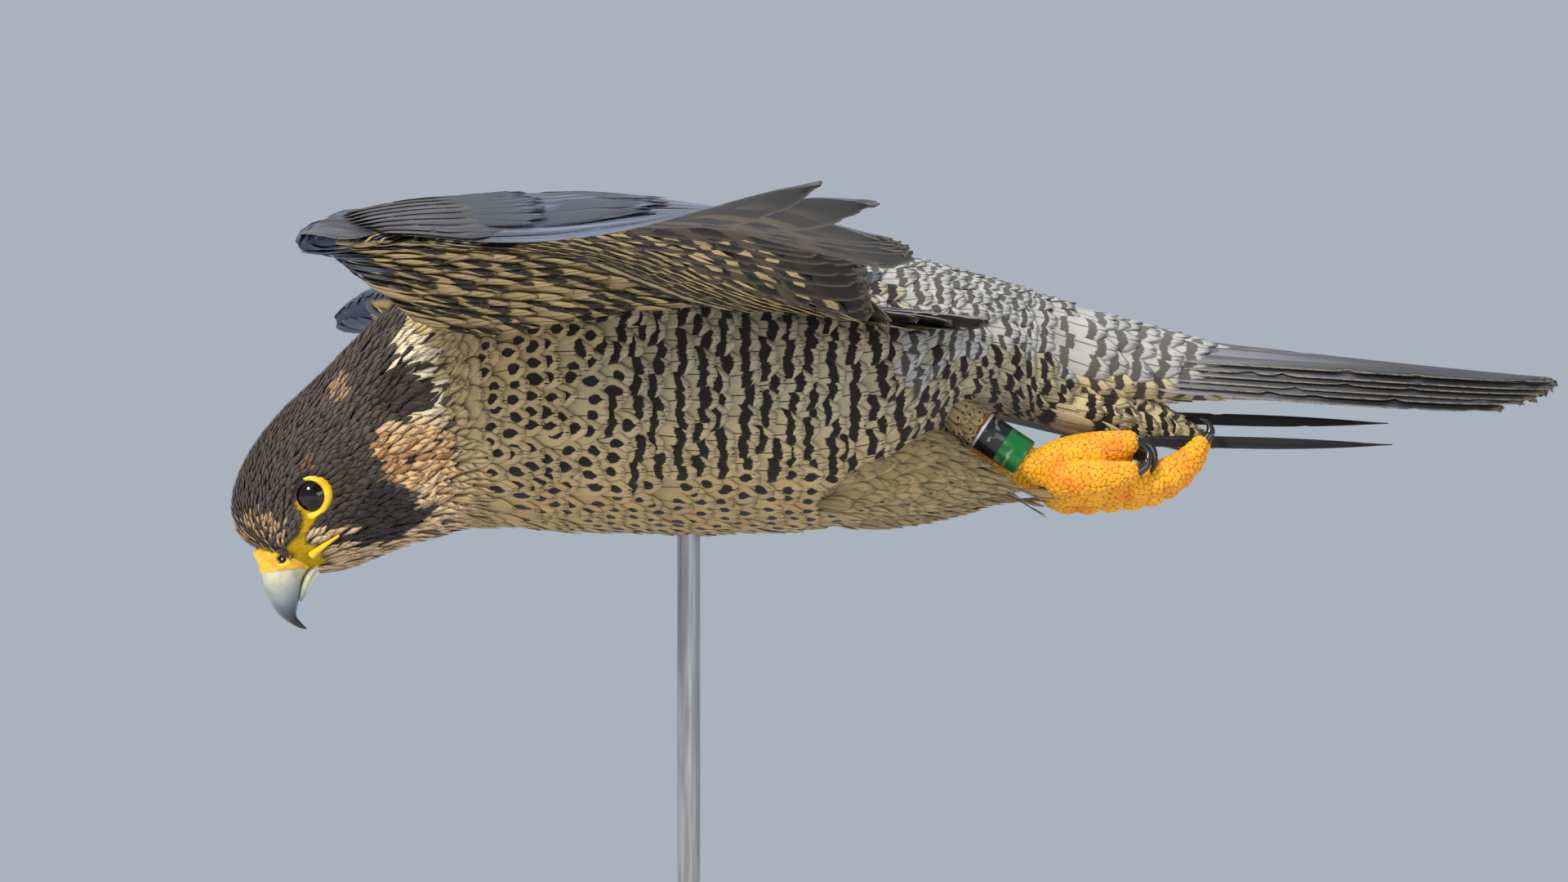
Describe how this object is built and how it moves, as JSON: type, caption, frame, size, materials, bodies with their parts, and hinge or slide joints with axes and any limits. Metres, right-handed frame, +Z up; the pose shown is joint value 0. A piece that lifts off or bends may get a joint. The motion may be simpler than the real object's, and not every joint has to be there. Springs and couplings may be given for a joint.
{
  "type": "peregrine falcon display model",
  "caption": "Life-size falcon in level flight with half-spread wings, closed tail and tucked feet, held over a round base by one rod.",
  "frame": {"origin": "middle of the stand base's flat underside, on the floor", "axes": "+Z up; the bird's head points to -X and its left side faces -Y"},
  "size_m": [0.4552, 0.7077, 0.305],
  "materials": {
    "head_plumage": "slate-brown feathers with buff cheeks, satin",
    "breast_plumage": "buff feathers with dark bars, matt",
    "wing_plumage": "slate flight feathers, barred buff beneath, satin",
    "tail_plumage": "grey barred feathers darkening to the tip, satin",
    "bill": "blue-grey horn with a yellow cere, semi-gloss",
    "eye": "dark brown, wet gloss",
    "foot_skin": "yellow scaled skin, satin",
    "claw": "black horn, semi-gloss",
    "leg_band": "black and green anodised band, worn, no lettering",
    "stand_metal": "black satin paint"
  },
  "bodies": {
    "root": {"head": "head_plumage", "neck": "breast_plumage", "torso": "breast_plumage", "bill_upper": "bill", "bill_lower": "bill", "eye_left": "eye", "eye_right": "eye", "wing_left": "wing_plumage", "wing_right": "wing_plumage", "tail": "tail_plumage", "leg_band": "leg_band", "leg_left": "breast_plumage", "leg_right": "breast_plumage", "foot_left": "foot_skin", "foot_right": "foot_skin", "claw_left_hallux": "claw", "claw_left_inner": "claw", "claw_left_middle": "claw", "claw_left_outer": "claw", "claw_right_hallux": "claw", "claw_right_inner": "claw", "claw_right_middle": "claw", "claw_right_outer": "claw", "stand_base": "stand_metal", "stand_rod": "stand_metal"}
  },
  "joints": []
}
